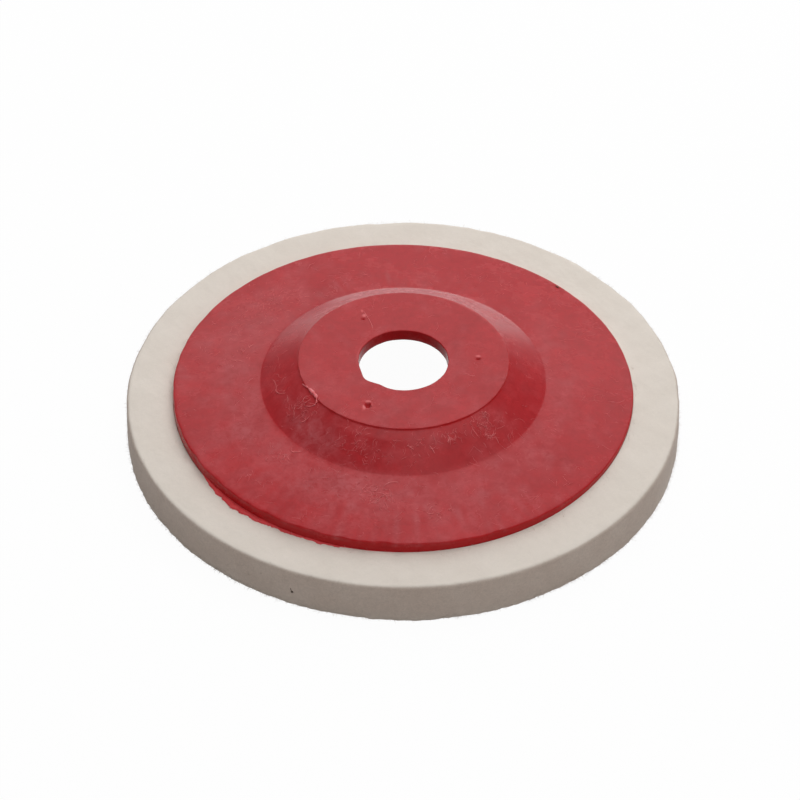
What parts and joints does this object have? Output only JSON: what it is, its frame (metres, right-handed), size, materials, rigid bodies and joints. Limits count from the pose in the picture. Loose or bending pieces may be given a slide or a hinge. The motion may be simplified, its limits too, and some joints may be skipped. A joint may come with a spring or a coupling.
{
  "type": "felt polishing wheel",
  "caption": "Pressed wool ring glued under a dished moulded plastic backing plate with a central bore, clamped on a small angle grinder to polish stone, glass or metal.",
  "frame": {"origin": "centre of the felt's working face, on the spindle axis", "axes": "+Z along the spindle axis from the felt's working face to the machine side; +X and +Y in the working face, with the bore's nick in the third quarter"},
  "size_m": [0.1, 0.1, 0.0163],
  "materials": {
    "plate_plastic": "red moulded plastic, satin, dusted with wool lint",
    "cured_glue": "cured amber glue",
    "wool_felt": "off-white pressed wool felt, die cut"
  },
  "bodies": {
    "root": {"backing_plate": "plate_plastic", "glue_film": "cured_glue", "felt_pad": "wool_felt"}
  },
  "joints": []
}
